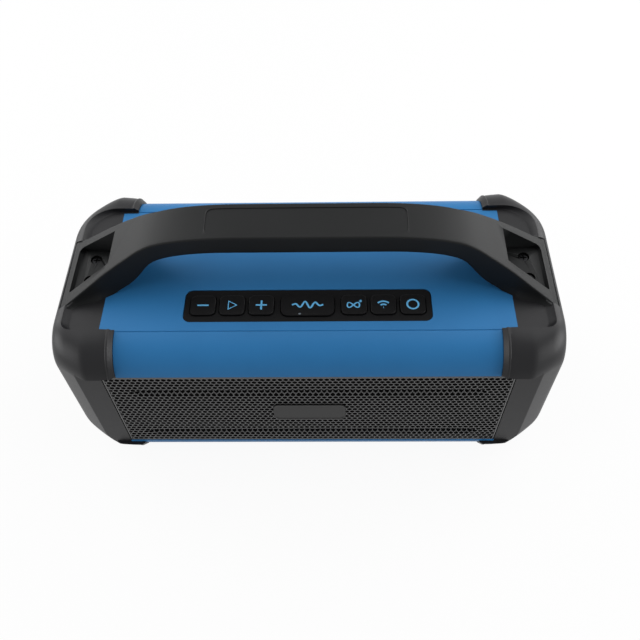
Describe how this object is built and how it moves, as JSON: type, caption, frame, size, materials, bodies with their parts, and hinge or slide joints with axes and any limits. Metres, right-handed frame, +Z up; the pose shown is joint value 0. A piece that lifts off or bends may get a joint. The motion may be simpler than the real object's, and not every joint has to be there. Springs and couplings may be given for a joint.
{
  "type": "jobsite radio",
  "caption": "Jobsite radio: rounded box body between two end caps, with a bridge carry handle, a keypad on top, a perforated front grille and a rear port flap.",
  "frame": {"origin": "centre of the overall bounding box in X and Y, on the plane that the foot pads rest on", "axes": "+X towards the right end cap, along the body's length; the grille faces -Y; +Z up"},
  "size_m": [0.324, 0.1533, 0.1744],
  "materials": {
    "blue_shell": "satin, fine moulded grain",
    "black_shell": "satin, fine moulded grain",
    "handle_plastic": "satin, fine moulded grain",
    "key_plastic": "satin with light blue printed symbols",
    "grille_steel": "fine powder coat, hexagonal perforation",
    "badge_metal": "satin, bare",
    "cloth": "woven, matte",
    "foot_rubber": "matte",
    "flap_rubber": "matte",
    "screw_steel": "black oxide",
    "bright_steel": "satin",
    "basket_steel": "satin",
    "ferrite": "matte ferrite with steel plates",
    "cone_paper": "matte, coated",
    "copper": "wound wire",
    "spider_cloth": "resin-dipped weave",
    "surround_rubber": "satin",
    "radiator_plastic": "satin",
    "board_green": "solder mask",
    "switch_plastic": "satin",
    "light_guide": "clear guide, unlit",
    "heat_sink_alloy": "extruded",
    "sleeve": "shrink sleeve",
    "shield_can": "tinned",
    "connector_nylon": "nylon",
    "tray_plastic": "satin",
    "cell_wrap": "shrink wrap"
  },
  "bodies": {
    "housing": {"top_cover": "blue_shell", "bottom_cover": "blue_shell", "front_shell": "blue_shell", "rear_shell": "blue_shell", "left_end_cap": "black_shell", "right_end_cap": "black_shell", "end_cap_screws": "screw_steel", "body_screws": "screw_steel", "foot_pads": "foot_rubber", "handle": "handle_plastic", "handle_screws": "screw_steel", "front_grille": "grille_steel", "badge_plate": "badge_metal", "grille_cloth": "cloth", "keypad_frame": "black_shell", "key_board": "board_green", "key_switches": "switch_plastic", "status_light": "light_guide", "left_driver_frame": "basket_steel", "left_driver_magnet": "ferrite", "left_surround": "surround_rubber", "left_spider": "spider_cloth", "right_driver_frame": "basket_steel", "right_driver_magnet": "ferrite", "right_surround": "surround_rubber", "right_spider": "spider_cloth", "driver_gaskets": "foot_rubber", "driver_screws": "screw_steel", "rear_panel": "black_shell", "rear_panel_screws": "screw_steel", "rear_grille": "grille_steel", "radiator_frame": "radiator_plastic", "radiator_surround": "surround_rubber", "port_cover_pin": "bright_steel", "io_board": "board_green", "charge_socket": "bright_steel", "aux_jack": "tray_plastic", "main_board": "board_green", "heat_sink": "heat_sink_alloy", "capacitors": "sleeve", "wireless_module": "shield_can", "board_connectors": "connector_nylon", "inside_screws": "bright_steel", "battery_tray": "tray_plastic", "battery_cells": "cell_wrap", "battery_clamp": "tray_plastic"},
    "minus_key": {"key_minus": "key_plastic"},
    "play_key": {"key_play": "key_plastic"},
    "plus_key": {"key_plus": "key_plastic"},
    "bass_key": {"key_bass": "key_plastic"},
    "pair_key": {"key_pair": "key_plastic"},
    "wireless_key": {"key_wireless": "key_plastic"},
    "power_key": {"key_power": "key_plastic"},
    "left_cone_assembly": {"left_cone": "cone_paper", "left_voice_coil": "copper"},
    "right_cone_assembly": {"right_cone": "cone_paper", "right_voice_coil": "copper"},
    "radiator": {"radiator_plate": "radiator_plastic"},
    "port_flap": {"port_cover": "flap_rubber"}
  },
  "joints": [
    {"name": "minus_key_press", "type": "slide", "parent": "housing", "child": "minus_key", "axis": [0, 0, -1], "range_m": [0, 0.0008], "stiffness_N_per_m": 900},
    {"name": "play_key_press", "type": "slide", "parent": "housing", "child": "play_key", "axis": [0, 0, -1], "range_m": [0, 0.0008], "stiffness_N_per_m": 900},
    {"name": "plus_key_press", "type": "slide", "parent": "housing", "child": "plus_key", "axis": [0, 0, -1], "range_m": [0, 0.0008], "stiffness_N_per_m": 900},
    {"name": "bass_key_press", "type": "slide", "parent": "housing", "child": "bass_key", "axis": [0, 0, -1], "range_m": [0, 0.0008], "stiffness_N_per_m": 900},
    {"name": "pair_key_press", "type": "slide", "parent": "housing", "child": "pair_key", "axis": [0, 0, -1], "range_m": [0, 0.0008], "stiffness_N_per_m": 900},
    {"name": "wireless_key_press", "type": "slide", "parent": "housing", "child": "wireless_key", "axis": [0, 0, -1], "range_m": [0, 0.0008], "stiffness_N_per_m": 900},
    {"name": "power_key_press", "type": "slide", "parent": "housing", "child": "power_key", "axis": [0, 0, -1], "range_m": [0, 0.0008], "stiffness_N_per_m": 900},
    {"name": "left_cone_travel", "type": "slide", "parent": "housing", "child": "left_cone_assembly", "axis": [0, -1, 0], "range_m": [-0.002, 0.002], "stiffness_N_per_m": 1400, "deforming": ["left_surround", "left_spider"]},
    {"name": "right_cone_travel", "type": "slide", "parent": "housing", "child": "right_cone_assembly", "axis": [0, -1, 0], "range_m": [-0.002, 0.002], "stiffness_N_per_m": 1400, "deforming": ["right_surround", "right_spider"]},
    {"name": "radiator_travel", "type": "slide", "parent": "housing", "child": "radiator", "axis": [0, 1, 0], "range_m": [-0.0025, 0.0025], "stiffness_N_per_m": 900, "deforming": ["radiator_surround"]},
    {"name": "port_flap_hinge", "type": "hinge", "parent": "housing", "child": "port_flap", "pos_m": [0.094, 0.0724, 0.04405], "axis": [-1, 0, 0], "range_deg": [0, 110]}
  ]
}
